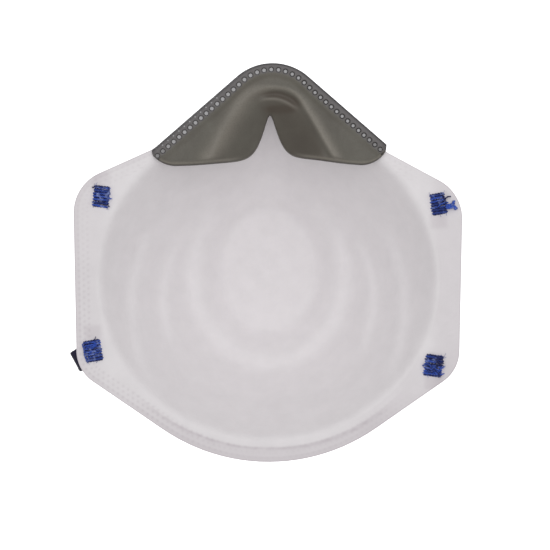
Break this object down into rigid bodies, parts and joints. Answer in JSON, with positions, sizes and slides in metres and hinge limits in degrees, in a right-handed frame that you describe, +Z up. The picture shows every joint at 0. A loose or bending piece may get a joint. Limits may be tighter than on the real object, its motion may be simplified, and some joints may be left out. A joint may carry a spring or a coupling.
{
  "type": "disposable dust mask",
  "caption": "Moulded cup dust mask: layered white shell with a flat flange, grey foam nose seal, aluminium nose clip and two elastic head bands sewn on at the sides.",
  "frame": {"origin": "centre of the cup's mouth, in the plane of the flange's face side", "axes": "+Z up as worn, with the nose at the top; -Y towards the wearer's face and +Y out through the cup; +X to the wearer's left"},
  "size_m": [0.1441, 0.0582, 0.1462],
  "materials": {
    "inner_nonwoven": "smooth pressed nonwoven, matt",
    "support_felt": "moulded needle felt, matt",
    "filter_web": "fine fibre web, matt",
    "outer_nonwoven": "pressed nonwoven, matt",
    "grey_foam": "skinned soft foam, satin",
    "weld_spots": "fused, slightly glossy",
    "clip_aluminium": "satin strip",
    "band_elastic": "flat braided elastic, matt",
    "tack_thread": "twisted polyester sewing thread"
  },
  "bodies": {
    "root": {"inner_cover": "inner_nonwoven", "support_shell": "support_felt", "filter_layer": "filter_web", "outer_cover": "outer_nonwoven", "nose_foam": "grey_foam", "foam_welds": "weld_spots", "nose_clip": "clip_aluminium", "upper_band_ends": "band_elastic", "lower_band_ends": "band_elastic", "upper_left_tack": "tack_thread", "upper_right_tack": "tack_thread", "lower_left_tack": "tack_thread", "lower_right_tack": "tack_thread"},
    "upper_harness": {"upper_band": "band_elastic"},
    "lower_harness": {"lower_band": "band_elastic"}
  },
  "joints": [
    {"name": "upper_band_swing", "type": "hinge", "parent": "root", "child": "upper_harness", "pos_m": [0, 0.003, 0.029], "axis": [1, 0, 0], "range_deg": [0, 170]},
    {"name": "lower_band_swing", "type": "hinge", "parent": "root", "child": "lower_harness", "pos_m": [0, 0.003, -0.0295], "axis": [-1, 0, 0], "range_deg": [0, 170]}
  ]
}
